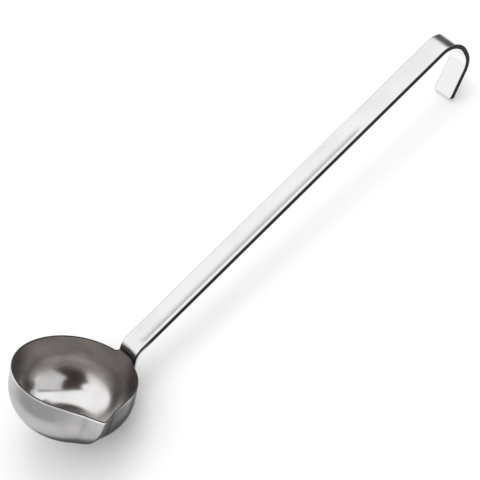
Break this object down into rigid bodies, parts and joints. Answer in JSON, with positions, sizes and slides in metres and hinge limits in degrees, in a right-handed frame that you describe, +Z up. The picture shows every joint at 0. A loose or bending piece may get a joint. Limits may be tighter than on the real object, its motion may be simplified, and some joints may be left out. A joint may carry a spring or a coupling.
{
  "type": "sauce ladle",
  "caption": "Stainless steel sauce ladle: a deep round bowl with a V pouring lip on one side, welded to a long strip handle with a pressed groove and a hook to hang it by.",
  "frame": {"origin": "on the table under the middle of the ladle, as it lies on its bowl and on the end of its hook", "axes": "+Z up from the table, +X from the bowl along the handle to the hook; the pouring lip is on the -Y side"},
  "size_m": [0.3718, 0.0902, 0.0674],
  "materials": {
    "bowl_steel": "satin polished stainless steel, drawn marks round the bowl",
    "handle_steel": "bright stainless strip, fine lines along its length",
    "weld_steel": "ground spot welds, slightly dull"
  },
  "bodies": {
    "root": {"bowl": "bowl_steel", "handle": "handle_steel", "spot_weld_1": "weld_steel", "spot_weld_2": "weld_steel", "spot_weld_3": "weld_steel"}
  },
  "joints": []
}
